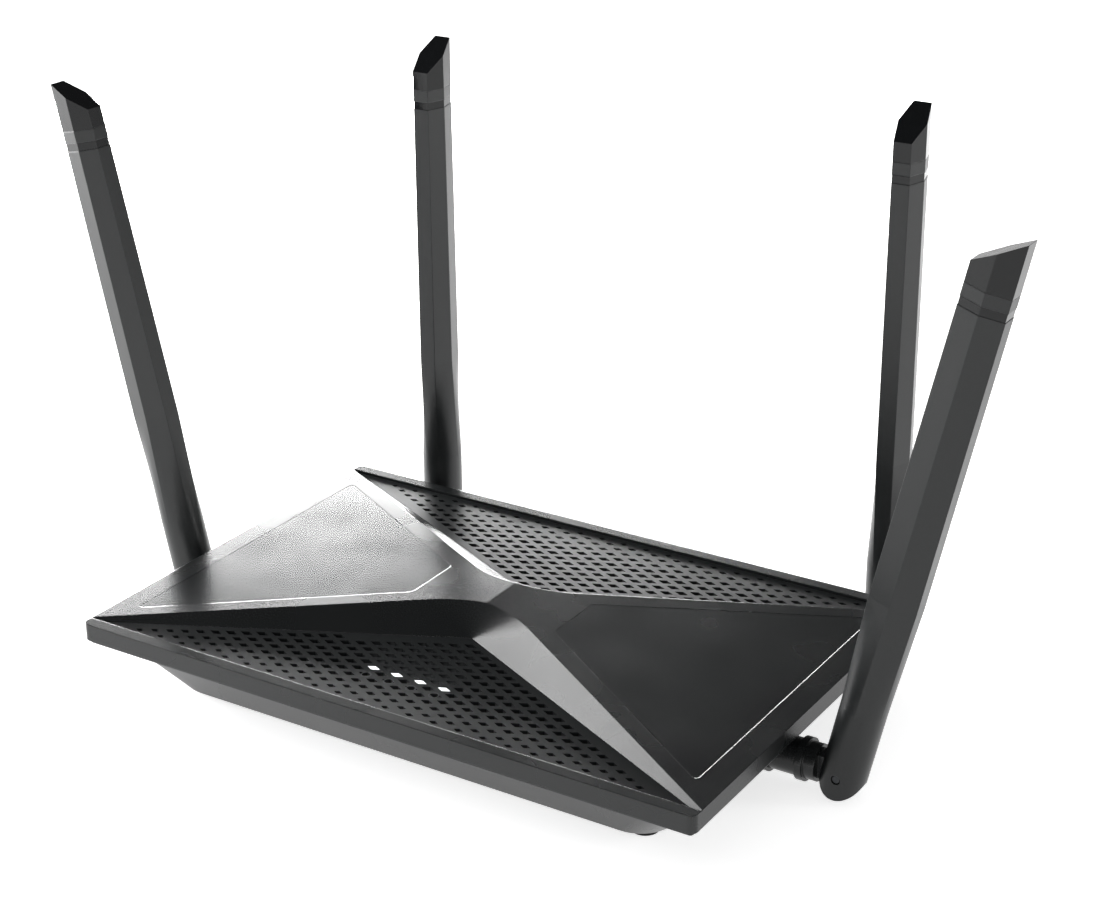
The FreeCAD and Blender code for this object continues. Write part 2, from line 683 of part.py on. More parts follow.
def back_openings():
    """The cuts for ports and buttons in the back wall."""
    low = "board_top - port_gap"
    tall = "port_tall + 2 * port_gap"
    lan_wide = f"{LAN_PORTS} * port_wide + 2 * port_gap"
    return [
        back_box("lan_cut", "0 + lan_middle_x", lan_wide, tall, low),
        back_box("wan_cut", "0 + wan_middle_x", "port_wide + 2 * port_gap", tall, low),
        back_box("usb_cut", "0 + usb_middle_x", "usb_wide + 2 * port_gap", "usb_tall + 2 * port_gap", low),
        back_box("jack_cut", "0 + jack_middle_x", "jack_wide + 2 * port_gap",
                 "jack_tall + 2 * port_gap", low),
        back_box("power_cut", "0 + power_middle_x", "power_wide + 2 * button_gap",
                 "power_wide + 2 * button_gap", "button_high - power_wide / 2 - button_gap"),
        back_rod("wps_cut", "0 + wps_middle_x", "wps_radius + button_gap"),
        back_rod("reset_cut", "0 + reset_middle_x", "reset_radius + button_gap"),
    ]


def floor_openings():
    """Vent slots, wall-hanging keyholes and screw holes through the floor."""
    tools = []
    for column in (-1, 1):
        for row in range(-5, 4):
            place = f"middle_y + {row} * vent_pitch"
            tools.append(box(f"vent_{column + 1}_{row + 5}", "vent_long", "vent_wide", "3 * wall_thick",
                             f"{column} * vent_middle_x", place, "foot_tall - wall_thick"))
    for index, sign in enumerate("-+"):
        x = f"0 {sign} key_apart / 2"
        low = "foot_tall - wall_thick"
        y = "middle_y + key_y"
        tools.append(cylinder(f"key_hole_{index}", "key_hole", "3 * wall_thick", x, y, low))
        tools.append(cylinder(f"key_end_{index}", "key_slot", "3 * wall_thick", x, f"{y} + key_long", low))
        tools.append(box(f"key_slot_{index}", "2 * key_slot", "key_long", "3 * wall_thick", x,
                         f"{y} + key_long / 2", low))
    for index, (x, y) in enumerate(corners("case_screw_x", "case_screw_y")):
        tools.append(cylinder(f"floor_hole_{index}", "screw_radius + press_gap", "3 * wall_thick",
                              x, y, "foot_tall - wall_thick"))
    return tools


def port_solid(name, x, count):
    """A block of network sockets whose mouths face back."""
    body = box(f"{name}_body", f"{count} * port_wide", "port_deep", "port_tall", x,
               "back_wall_y - port_deep / 2", "board_top")
    mouths = []
    for index in range(count):
        shift = f"({index} - {(count - 1) / 2}) * port_wide"
        mouths.append(box(f"{name}_mouth_{index}", "socket_wide", "2 * socket_deep", "socket_tall",
                          f"{x} + {shift}", "0 + back_wall_y", "board_top + (port_tall - socket_tall) / 2"))
        mouths.append(box(f"{name}_key_{index}", "socket_key", "2 * socket_deep", "socket_key_tall",
                          f"{x} + {shift}", "0 + back_wall_y",
                          "board_top + (port_tall - socket_tall) / 2 - socket_key_tall + 0.1"))
    return cut(name, body, mouths)


def make_ports():
    """Network sockets, the memory port and the power inlet on the back edge of the board."""
    port_solid("lan_ports", "0 + lan_middle_x", LAN_PORTS)
    port_solid("wan_port", "0 + wan_middle_x", 1)
    shell = box("usb_body", "usb_wide", "usb_deep", "usb_tall", "0 + usb_middle_x",
                "back_wall_y - usb_deep / 2", "board_top")
    mouth = box("usb_mouth", "usb_wide - 2 * usb_wall", "2 * (usb_deep - usb_wall)",
                "usb_tall - 2 * usb_wall", "0 + usb_middle_x", "0 + back_wall_y", "board_top + usb_wall")
    cut_shell = cut("usb_shell", shell, [mouth])
    tongue = box("usb_tongue", "usb_wide - 4 * usb_wall", "usb_deep - usb_tongue_back",
                 "usb_tongue_thick", "0 + usb_middle_x",
                 "back_wall_y - usb_deep + (usb_deep - usb_tongue_back) / 2",
                 "board_top + usb_tall - 2 * usb_wall - usb_tongue_thick")
    fuse("usb_port", [cut_shell, tongue])
    block = box("jack_block", "jack_wide", "jack_deep", "jack_tall", "0 + jack_middle_x",
                "back_wall_y - jack_deep / 2", "board_top")
    bore = cylinder("jack_bore_cut", "jack_bore", "2 * jack_bore_deep", "0 + jack_middle_x",
                    "back_wall_y - jack_bore_deep", "board_top + jack_tall / 2", Vector(0, 1, 0))
    hollow = cut("jack_housing", block, [bore])
    pin = cylinder("jack_contact", "jack_pin", "jack_bore_deep", "0 + jack_middle_x",
                   "back_wall_y - jack_bore_deep - 0.5", "board_top + jack_tall / 2", Vector(0, 1, 0))
    fuse("power_inlet", [hollow, pin])


# ---------------------------------------------------------------- parts drawn as PartDesign bodies

def outline_sketch(body, role, points):
    """A closed outline on one of the body's own planes; each corner's place is a pair of formulas."""
    sketch = body.newObject("Sketcher::SketchObject", body.Name + "_sketch")
    support = [plane for plane in body.Origin.OriginFeatures if plane.Role == role][0]
    sketch.AttachmentSupport = [(support, "")]
    sketch.MapMode = "FlatFace"
    places = []
    for x, y in points:
        places.append(Vector(number(sketch, x), number(sketch, y), 0))
    count = len(points)
    for index in range(count):
        sketch.addGeometry(Part.LineSegment(places[index], places[(index + 1) % count]), False)
    for index in range(count):
        sketch.addConstraint(Sketcher.Constraint("Coincident", index, 2, (index + 1) % count, 1))
    for index, (x, y) in enumerate(points):
        for kind, text, value in (("DistanceX", x, places[index].x), ("DistanceY", y, places[index].y)):
            row = sketch.addConstraint(Sketcher.Constraint(kind, -1, 1, index, 1, value))
            sketch.setExpression(f"Constraints[{row}]", formula(text))
    doc.recompute()
    return sketch


def number(item, text):
    """What a formula of the sheet comes to."""
    return float(item.evalExpression(formula(text)))


def turned_body(name, points):
    """A body turned about the X axis from its half outline."""
    body = doc.addObject("PartDesign::Body", name)
    sketch = outline_sketch(body, "XY_Plane", points)
    turned = body.newObject("PartDesign::Revolution", name + "_turned")
    turned.Profile = sketch
    turned.ReferenceAxis = (sketch, ["H_Axis"])
    turned.Angle = 360
    sketch.Visibility = False
    doc.recompute()
    return body


def padded_body(name, role, points, height):
    """A body padded up from an outline."""
    body = doc.addObject("PartDesign::Body", name)
    sketch = outline_sketch(body, role, points)
    pad = body.newObject("PartDesign::Pad", name + "_pad")
    pad.Profile = sketch
    bind(pad, Length=height)
    sketch.Visibility = False
    doc.recompute()
    return body


def rectangle_points(wide, deep):
    """Formulas of a rectangle's corners about its middle."""
    x = f"({wide}) / 2"
    y = f"({deep}) / 2"
    return [(f"-({x})", f"-({y})"), (x, f"-({y})"), (x, y), (f"-({x})", y)]


def face_back(body, x, y, z):
    """Turn a body's own X axis to the back and move it to its place."""
    body.Placement = Placement(Vector(), Rotation(Vector(0, 0, 1), 90))
    move(body, x, y, z)


def make_buttons():
    """The latching power button, the pairing button and the reset plunger, with their switches."""
    stem = "power_travel + stem_long"
    flange = "power_wide / 2 + button_lip"
    # Along the button's axis: 0 is the back wall's inner face.
    out = "wall_thick + button_out"
    half = "power_wide / 2"
    outline = [(f"-({stem})", "-stem_half"), ("-flange_thick", "-stem_half"),
               ("-flange_thick", f"-({flange})"), ("0 * flange_thick", f"-({flange})"),
               ("0 * flange_thick", f"-({half})"), (out, f"-({half})"), (out, half),
               ("0 * flange_thick", half), ("0 * flange_thick", flange), ("-flange_thick", flange),
               ("-flange_thick", "0 + stem_half"), (f"-({stem})", "0 + stem_half")]
    button = padded_body("power_button", "XY_Plane", outline, "power_wide")
    face_back(button, "0 + power_middle_x", "back_wall_y - wall_thick", "button_high - power_wide / 2")
    switch = box("power_switch_body", "switch_wide", "switch_deep", "button_high + power_wide / 2 - board_top",
                 "0 + power_middle_x",
                 "back_wall_y - wall_thick - flange_thick - power_travel - button_gap - switch_deep / 2",
                 "0 + board_top")
    well = box("power_switch_well", "2 * stem_half + 2 * button_gap", "2 * switch_well",
               "2 * power_wide", "0 + power_middle_x",
               "back_wall_y - wall_thick - flange_thick - power_travel - button_gap",
               "button_high - power_wide / 2 - button_gap")
    cut("power_switch", switch, [well])
    for name, radius in (("wps", "wps_radius"), ("reset", "reset_radius")):
        reach = "wall_thick + button_out"
        if name == "reset":
            reach = "wall_thick / 2"
        rim = f"{radius} + button_lip"
        points = [("-stem_long", "0 * stem_long"), (reach, "0 * stem_long"), (reach, f"0 + {radius}"),
                  ("0 * stem_long", f"0 + {radius}"), ("0 * stem_long", rim), ("-flange_thick", rim),
                  ("-flange_thick", f"0 + {radius}"), ("-stem_long", f"0 + {radius}")]
        plunger = turned_body(f"{name}_button", points)
        face_back(plunger, f"0 + {name}_middle_x", "back_wall_y - wall_thick", "0 + button_high")
    blocks = []
    for name in ("wps", "reset"):
        blocks.append(box(f"{name}_switch", "tact_wide", "tact_deep", "button_high + tact_wide / 2 - board_top",
                          f"0 + {name}_middle_x",
                          "back_wall_y - wall_thick - stem_long - tact_travel - 0.1 - tact_deep / 2",
                          "0 + board_top"))
    group("tact_switches", blocks)


def make_board():
    """The main board, its screws and the parts soldered to it."""
    board = padded_body("board_blank", "XY_Plane", rectangle_points("board_wide", "board_deep"), "board_thick")
    move(board, "0 * board_wide", "0 + board_y", "0 + board_low")
    holes = []
    screws = []
    for index, (x, y) in enumerate(board_screw_places()):
        holes.append(cylinder(f"board_hole_{index}", "screw_radius + 0.2", "3 * board_thick", x, y,
                              "board_low - board_thick"))
        shank = cylinder(f"board_shank_{index}", "screw_radius - press_gap",
                         "board_thick + post_tall", x, y, "board_low - post_tall")
        head = cylinder(f"board_head_{index}", "head_radius", "head_tall", x, y, "0 + board_top")
        screws.append(fuse(f"board_screw_{index}", [shank, head]))
    cut("main_board", board, holes)
    group("board_screws", screws)
    heads = []
    for index, (x, y) in enumerate(corners("case_screw_x", "case_screw_y")):
        head = cylinder(f"case_head_{index}", "head_radius", "head_tall", x, y, "foot_tall - head_tall")
        shank = cylinder(f"case_shank_{index}", "screw_radius - press_gap",
                         "wall_thick + stem_long + head_tall / 2", x, y, "foot_tall - head_tall / 2")
        heads.append(fuse(f"case_screw_{index}", [head, shank]))
    group("case_screws", heads)
    chips = [box("processor", "chip_wide", "chip_wide", "chip_tall", "0 - sink_x", "middle_y - sink_y",
                 "0 + board_top")]
    for index in range(2):
        chips.append(box(f"memory_{index}", "memory_wide", "memory_deep", "chip_tall",
                         f"sink_wide / 2 + {index} * (memory_wide + 4)", "middle_y - sink_y", "0 + board_top"))
    group("chips", chips)
    box("thermal_pad", "chip_wide", "chip_wide", "pad_thick", "0 - sink_x", "middle_y - sink_y",
        "board_top + chip_tall")
    base = box("sink_plate", "sink_wide", "sink_deep", "sink_base", "0 - sink_x", "middle_y - sink_y",
               "board_top + chip_tall + pad_thick")
    fins = [base]
    for index in range(-4, 5):
        fins.append(box(f"fin_{index + 4}", "fin_thick", "sink_deep", "sink_tall",
                        f"{index} * fin_pitch - sink_x", "middle_y - sink_y",
                        "board_top + chip_tall + pad_thick"))
    fuse("heat_sink", fins)
    cans = []
    for index, sign in enumerate("-+"):
        cans.append(box(f"shield_{index}", "can_wide", "can_deep", "can_tall", f"0 {sign} can_x",
                        "middle_y - can_y", "0 + board_top"))
    group("shield_cans", cans)
    magnets = []
    for index, x in enumerate(("0 + lan_middle_x - port_wide", "0 + lan_middle_x + port_wide",
                               "0 + wan_middle_x")):
        magnets.append(box(f"magnetic_{index}", "magnet_wide", "magnet_deep", "magnet_tall", x,
                           "back_wall_y - port_deep - magnet_deep", "0 + board_top"))
    group("network_transformers", magnets)
    cans = []
    for index in range(3):
        cans.append(cylinder(f"capacitor_{index}", "capacitor_radius", "capacitor_tall",
                             f"jack_middle_x - {index} * capacitor_apart", "back_wall_y - port_deep - 6", "0 + board_top"))
    group("capacitors", cans)
    lamps = []
    for index in range(4):
        lamps.append(box(f"lamp_{index}", "light_deep + 1", "light_deep", "lamp_tall",
                         f"light_middle_x + ({index} - 1.5) * light_apart", "middle_y - light_row_y",
                         "0 + board_top"))
    group("status_lamps", lamps)


# ---------------------------------------------------------------- building and writing

CASE_NODES = ["top_cover", "front_grille", "back_grille", "left_panel", "right_panel", "light_pipes",
              "bottom_case", "rubber_feet", "case_screws"]
BOARD_NODES = ["main_board", "board_screws", "lan_ports", "wan_port", "usb_port", "power_inlet",
               "power_button", "power_switch", "wps_button", "reset_button", "tact_switches", "chips",
               "thermal_pad", "heat_sink", "shield_cans", "network_transformers", "capacitors",
               "status_lamps"]
ANTENNA_NODES = ["hub", "knuckle", "pin", "sleeve", "ring", "band", "cap", "radiator"]


def check_objects():
    """Stop if any object failed or any shape is missing or broken."""
    for item in doc.Objects:
        if "Invalid" in item.State or "Error" in item.State:
            raise RuntimeError(f"{item.Name} failed: {item.State}")
        if hasattr(item, "Shape") and item.isDerivedFrom("Part::Feature"):
            if not item.isDerivedFrom("PartDesign::Feature") and not item.Name.endswith("_sketch"):
                if item.Shape.isNull() or not item.Shape.isValid():
                    raise RuntimeError(f"{item.Name} has no valid shape")


def main():
    """Build every piece and write each one to its own file."""
    fill_sheet()
    make_case()
    make_ports()
    make_board()
    make_buttons()
    names = CASE_NODES + BOARD_NODES
    for antenna in ANTENNAS:
        make_antenna(antenna)
        names += [f"{antenna}_{piece}" for piece in ANTENNA_NODES]
    doc.recompute()
    check_objects()
    os.makedirs("parts", exist_ok=True)
    for name in names:
        item = doc.getObject(name)
        if item.Label != name or not item.Shape.Solids:
            raise RuntimeError(f"{name} is not a solid of its own name")
        item.Shape.exportStep(f"parts/{name}.step")
        print(name, len(item.Shape.Solids), round(item.Shape.Volume, 1))


main()
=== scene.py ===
"""The looks of a wireless router with a faceted roof and four blade antennas."""

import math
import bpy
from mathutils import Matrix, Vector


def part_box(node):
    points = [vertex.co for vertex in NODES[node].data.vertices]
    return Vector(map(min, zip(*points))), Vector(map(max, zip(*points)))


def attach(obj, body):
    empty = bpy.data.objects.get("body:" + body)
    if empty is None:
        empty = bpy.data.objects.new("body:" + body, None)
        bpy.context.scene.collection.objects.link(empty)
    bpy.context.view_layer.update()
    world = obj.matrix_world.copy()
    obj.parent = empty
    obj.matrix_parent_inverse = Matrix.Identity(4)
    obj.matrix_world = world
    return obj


bl_info = {
    "name": "Wireless Router Finish",
    "version": (1, 0, 0),
    "blender": (4, 5, 0),
    "location": "View3D > Sidebar > Router",
    "description": "Gives the router its moulded plastics, trim, markings, contacts and studio",
    "category": "Object",
}

import bmesh
import bpy
from mathutils import Matrix, Vector

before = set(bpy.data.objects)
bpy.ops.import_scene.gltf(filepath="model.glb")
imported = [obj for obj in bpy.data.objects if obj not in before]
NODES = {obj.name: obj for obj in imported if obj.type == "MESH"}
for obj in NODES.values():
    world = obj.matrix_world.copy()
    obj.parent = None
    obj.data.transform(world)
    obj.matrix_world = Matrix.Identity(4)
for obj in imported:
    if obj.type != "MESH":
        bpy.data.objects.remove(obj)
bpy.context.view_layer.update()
ANTENNAS = ("left", "right", "back_left", "back_right")
MM = 0.001
# The backdrop dims from white to this between two heights, as sines of the elevation.
HORIZON_DIM = 0.06
HORIZON_FADE = (0.24, 0.38)
# The rim plane lies this far above the top of the front grille.
RIM_ABOVE_GRILLE = 0.9 * MM
# Each network socket has this many spring contacts, and each contact bends in these steps.
CONTACT_COUNT = 8
CONTACT_STEPS = 8
CONTACT_FROM_ROOF = 1.75 * MM
CONTACT_FROM_BACK = 2.6 * MM
CONTACT_DROP = 2.9 * MM
CONTACT_LONG = 9.5 * MM
CONTACT_THICK = 0.25 * MM
WINDOW_COUNT = 4
RING_STEPS = 40
RING_HEIGHT = 0.04 * MM
FLOOR_BELOW = 0.2 * MM
SENSOR_WIDE = 36
# Name, direction from the rim's middle, distance, width, height and power of each soft light.
SOFTBOXES = (
    ("back_left_window", (-0.70, 0.66, 0.07), 0.85, 0.8, 0.20, 18),
    ("left_high_panel", (-0.80, 0.11, 0.59), 1.6, 0.7, 0.5, 14),
    ("left_strip", (-1.0, -0.2, 0.10), 1.3, 0.4, 0.9, 26),
    ("front_fill", (0.15, -0.95, 0.22), 1.8, 1.0, 0.7, 7),
    ("right_edge", (0.95, 0.4, 0.2), 1.6, 0.3, 1.0, 6),
)


# ---------------------------------------------------------------- sizes and colours

class RouterPlastics(bpy.types.PropertyGroup):
    """Colours and finishes of the moulded parts."""

    case_colour: bpy.props.FloatVectorProperty(
        name="Case", description="Colour of the satin case", subtype="COLOR", size=3,
        min=0, max=1, default=(0.0085, 0.0095, 0.0098))
    panel_colour: bpy.props.FloatVectorProperty(
        name="Panels", description="Colour of the two inlay panels", subtype="COLOR", size=3,
        min=0, max=1, default=(0.0075, 0.0085, 0.0088))
    grille_colour: bpy.props.FloatVectorProperty(
        name="Grilles", description="Colour of the perforated plates", subtype="COLOR", size=3,
        min=0, max=1, default=(0.010, 0.0112, 0.0116))
    blade_colour: bpy.props.FloatVectorProperty(
        name="Antennas", description="Colour of the antenna blades", subtype="COLOR", size=3,
        min=0, max=1, default=(0.0075, 0.0085, 0.0088))
    satin_roughness: bpy.props.FloatProperty(
        name="Satin roughness", description="Roughness of the satin plastic", subtype="FACTOR",
        min=0, max=1, default=0.27)
    grain_size: bpy.props.FloatProperty(
        name="Grain size", description="Width of one grain of the mould texture", unit="LENGTH",
        min=0.0001, max=0.01, default=0.0005)
    edge_radius: bpy.props.FloatProperty(
        name="Edge radius", description="How far moulded edges look rounded", unit="LENGTH",
        min=0, max=0.003, default=0.00045)


class RouterMarks(bpy.types.PropertyGroup):
    """Sizes of the printed rings and the socket contacts."""

    ring_radius: bpy.props.FloatProperty(
        name="Ring radius", description="Radius of a printed ring beside a status window",
        unit="LENGTH", min=0.0005, max=0.005, default=0.0017)
    ring_line: bpy.props.FloatProperty(
        name="Ring line", description="Width of a printed ring's line", unit="LENGTH",
        min=0.0001, max=0.001, default=0.0003)
    ring_gap: bpy.props.FloatProperty(
        name="Ring distance", description="From a status window to its ring, towards the front",
        unit="LENGTH", min=0.001, max=0.02, default=0.0049)
    window_glow: bpy.props.FloatProperty(
        name="Window glow", description="How strongly the status windows shine",
        min=0, max=10, default=1.0)
    contact_wide: bpy.props.FloatProperty(
        name="Contact width", description="Width of one spring contact in a network socket",
        unit="LENGTH", min=0.0002, max=0.002, default=0.00045)
    contact_pitch: bpy.props.FloatProperty(
        name="Contact pitch", description="Distance between spring contacts", unit="LENGTH",
        min=0.0005, max=0.003, default=0.00102)


class RouterStudio(bpy.types.PropertyGroup):
    """The camera and the lights."""

    lens: bpy.props.FloatProperty(
        name="Lens", description="Focal length in millimetres", min=20, max=200, default=75.17)
    camera_yaw: bpy.props.FloatProperty(
        name="Yaw", description="Turn of the view about the vertical", subtype="ANGLE",
        default=math.radians(32.396))
    camera_pitch: bpy.props.FloatProperty(
        name="Pitch", description="How far the view looks down", subtype="ANGLE",
        default=math.radians(22.878))
    camera_roll: bpy.props.FloatProperty(
        name="Roll", description="Tilt of the view about its own line", subtype="ANGLE",
        default=math.radians(-0.5))
    camera_place: bpy.props.FloatVectorProperty(
        name="Camera", description="Place of the camera from the middle of the case's rim",
        subtype="TRANSLATION", size=3, default=(0.37627, -0.56351, 0.34426))


# ---------------------------------------------------------------- shader groups

def new_group(name, inputs, outputs):
    """An empty shader group with its named sockets and its two end nodes."""
    group = bpy.data.node_groups.new(name, "ShaderNodeTree")
    for label, default in inputs:
        socket = group.interface.new_socket(name=label, in_out="INPUT", socket_type="NodeSocketFloat")
        socket.default_value = default
    for label, kind in outputs:
        group.interface.new_socket(name=label, in_out="OUTPUT", socket_type=kind)
    start = group.nodes.new("NodeGroupInput")
    finish = group.nodes.new("NodeGroupOutput")
    return group, start, finish


def math_node(group, operation, first, second):
    """A Math node with each input linked or set."""
    node = group.nodes.new("ShaderNodeMath")
    node.operation = operation
    for index, value in enumerate((first, second)):
        if isinstance(value, (int, float)):
            node.inputs[index].default_value = value
        else:
            group.links.new(value, node.inputs[index])
    return node.outputs[0]


def moulded_grain_group():
    """Fine mould grain and soft patches of sheen, from the piece's own place."""
    group, start, finish = new_group(
        "moulded_grain", [("Grain Size", 0.0005), ("Patch Size", 0.03)],
        [("Grain", "NodeSocketFloat"), ("Patch", "NodeSocketFloat")])
    place = group.nodes.new("ShaderNodeTexCoord")
    grain = group.nodes.new("ShaderNodeTexNoise")
    grain.inputs["Detail"].default_value = 3
    grain.inputs["Roughness"].default_value = 0.6
    patch = group.nodes.new("ShaderNodeTexNoise")
    patch.inputs["Detail"].default_value = 2
    one_over_grain = math_node(group, "DIVIDE", 1.0, start.outputs["Grain Size"])
    one_over_patch = math_node(group, "DIVIDE", 1.0, start.outputs["Patch Size"])
    group.links.new(one_over_grain, grain.inputs["Scale"])
    group.links.new(one_over_patch, patch.inputs["Scale"])
    for node in (grain, patch):
        group.links.new(place.outputs["Object"], node.inputs["Vector"])
    group.links.new(grain.outputs["Fac"], finish.inputs["Grain"])
    group.links.new(patch.outputs["Fac"], finish.inputs["Patch"])
    return group


def brushed_lines_group():
    """Fine parallel lines along X with a slow change of tone."""
    group, start, finish = new_group(
        "brushed_lines", [("Line Size", 0.0003)],
        [("Lines", "NodeSocketFloat"), ("Tone", "NodeSocketFloat")])
    place = group.nodes.new("ShaderNodeTexCoord")
    stretch = group.nodes.new("ShaderNodeMapping")
    stretch.inputs["Scale"].default_value = (0.05, 1, 1)
    lines = group.nodes.new("ShaderNodeTexNoise")
    tone = group.nodes.new("ShaderNodeTexNoise")
    tone.inputs["Scale"].default_value = 120
    group.links.new(place.outputs["Object"], stretch.inputs["Vector"])
    group.links.new(stretch.outputs["Vector"], lines.inputs["Vector"])
    group.links.new(place.outputs["Object"], tone.inputs["Vector"])
    one_over_line = math_node(group, "DIVIDE", 1.0, start.outputs["Line Size"])
    group.links.new(one_over_line, lines.inputs["Scale"])
    group.links.new(lines.outputs["Fac"], finish.inputs["Lines"])
    group.links.new(tone.outputs["Fac"], finish.inputs["Tone"])
    return group


def shared_group(name):
    """One of the shader groups, built on first use."""
    builders = {"moulded_grain": moulded_grain_group, "brushed_lines": brushed_lines_group}
    return bpy.data.node_groups.get(name) or builders[name]()


# ---------------------------------------------------------------- materials

def new_material(name):
    """A node material with its Principled shader."""
    material = bpy.data.materials.new(name)
    material.use_nodes = True
    return material, material.node_tree, material.node_tree.nodes["Principled BSDF"]


def blend_colour(tree, mask, dark, light):
    """A colour that runs from dark to light with a mask."""
    mix = tree.nodes.new("ShaderNodeMix")
    mix.data_type = "RGBA"
    mix.inputs["A"].default_value = (*dark, 1)
    mix.inputs["B"].default_value = (*light, 1)
    tree.links.new(mask, mix.inputs["Factor"])
    return mix.outputs["Result"]


def spread(tree, mask, low, high, start=0.3, finish=0.7):
    """A mask stretched between two values."""
    node = tree.nodes.new("ShaderNodeMapRange")
    node.inputs["From Min"].default_value = start
    node.inputs["From Max"].default_value = finish
    node.inputs["To Min"].default_value = low
    node.inputs["To Max"].default_value = high
    tree.links.new(mask, node.inputs["Value"])
    return node.outputs["Result"]


def rounded_bump(tree, shader, height, depth, strength, radius):
    """A bump over edges that look rounded."""
    bevel = tree.nodes.new("ShaderNodeBevel")
    bevel.samples = 6
    bevel.inputs["Radius"].default_value = radius
    bump = tree.nodes.new("ShaderNodeBump")
    bump.inputs["Strength"].default_value = strength
    bump.inputs["Distance"].default_value = depth
    tree.links.new(height, bump.inputs["Height"])
    tree.links.new(bevel.outputs["Normal"], bump.inputs["Normal"])
    tree.links.new(bump.outputs["Normal"], shader.inputs["Normal"])


def moulded_plastic(name, colour, roughness, grain_size, strength, radius, shine=0.4):
    """Moulded plastic: grain in its bump, patches in its sheen and a faint change of tone."""
    material, tree, shader = new_material(name)
    grain = tree.nodes.new("ShaderNodeGroup")
    grain.node_tree = shared_group("moulded_grain")
    grain.inputs["Grain Size"].default_value = grain_size
    shader.inputs["Specular IOR Level"].default_value = shine
    light = tuple(min(1, channel * 1.35 + 0.001) for channel in colour)
    tone = blend_colour(tree, grain.outputs["Grain"], colour, light)
    tree.links.new(tone, shader.inputs["Base Color"])
    rough = spread(tree, grain.outputs["Patch"], roughness - 0.025, roughness + 0.025)
    tree.links.new(rough, shader.inputs["Roughness"])
    rounded_bump(tree, shader, grain.outputs["Grain"], grain_size * 0.1, strength, radius)
    return material


def gloss_plastic(name, colour, radius):
    """Polished plastic with a clear top coat and very faint waves."""
    material = moulded_plastic(name, colour, 0.09, 0.004, 0.06, radius, 0.25)
    shader = material.node_tree.nodes["Principled BSDF"]
    shader.inputs["Coat Weight"].default_value = 0.12
    shader.inputs["Coat Roughness"].default_value = 0.04
    return material


def plated_metal(name, colour, roughness, line_size):
    """Metal with fine rolling lines."""
    material, tree, shader = new_material(name)
    lines = tree.nodes.new("ShaderNodeGroup")
    lines.node_tree = shared_group("brushed_lines")
    lines.inputs["Line Size"].default_value = line_size
    shader.inputs["Metallic"].default_value = 1
    dark = tuple(channel * 0.8 for channel in colour)
    tone = blend_colour(tree, lines.outputs["Tone"], dark, colour)
    tree.links.new(tone, shader.inputs["Base Color"])
    tree.links.new(spread(tree, lines.outputs["Lines"], roughness - 0.06, roughness + 0.08),
                   shader.inputs["Roughness"])
    rounded_bump(tree, shader, lines.outputs["Lines"], line_size * 0.2, 0.3, 0.0001)
    return material


def status_window(name, glow):
    """A clear window lit from behind, its tone varying with a fine grain."""
    material, tree, shader = new_material(name)
    grain = tree.nodes.new("ShaderNodeGroup")
    grain.node_tree = shared_group("moulded_grain")
    grain.inputs["Grain Size"].default_value = 0.0008
    colour = blend_colour(tree, grain.outputs["Grain"], (0.8, 0.84, 0.86), (1, 1, 1))
    tree.links.new(colour, shader.inputs["Base Color"])
    tree.links.new(colour, shader.inputs["Emission Color"])
    tree.links.new(spread(tree, grain.outputs["Patch"], 0.2, 0.3), shader.inputs["Roughness"])
    shader.inputs["Emission Strength"].default_value = glow
    return material


def circuit_board(name):
    """Solder mask over faint copper tracks."""
    material, tree, shader = new_material(name)
    place = tree.nodes.new("ShaderNodeTexCoord")
    tracks = tree.nodes.new("ShaderNodeTexBrick")
    tracks.inputs["Scale"].default_value = 160
    tracks.inputs["Mortar Size"].default_value = 0.03
    tracks.inputs["Color1"].default_value = (0.002, 0.012, 0.006, 1)
    tracks.inputs["Color2"].default_value = (0.003, 0.016, 0.008, 1)
    tracks.inputs["Mortar"].default_value = (0.006, 0.03, 0.014, 1)
    tree.links.new(place.outputs["Object"], tracks.inputs["Vector"])
    tree.links.new(tracks.outputs["Color"], shader.inputs["Base Color"])
    tree.links.new(spread(tree, tracks.outputs["Fac"], 0.35, 0.28, 0, 1), shader.inputs["Roughness"])
    rounded_bump(tree, shader, tracks.outputs["Fac"], 0.00003, 0.5, 0.0001)
    return material


def finish_nodes(material, names, angle=math.radians(28)):
    """Give carried-over parts their material and smooth their round faces."""
    for name in names:
        part = NODES[name]
        part.data.materials.clear()
        part.data.materials.append(material)
        for face in part.data.polygons:
            face.use_smooth = True
        part.data.set_sharp_from_angle(angle=angle)


def new_piece(name, mesh, body, material):
    """Link a new piece that rides on a body."""
    piece = bpy.data.objects.new(name, mesh)
    bpy.context.scene.collection.objects.link(piece)
    piece.data.materials.append(material)
    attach(piece, body)
    return piece


# ---------------------------------------------------------------- pieces

CASE_PARTS = ("top_cover", "bottom_case")
INNER_PARTS = ("chips", "network_transformers", "power_switch", "tact_switches")


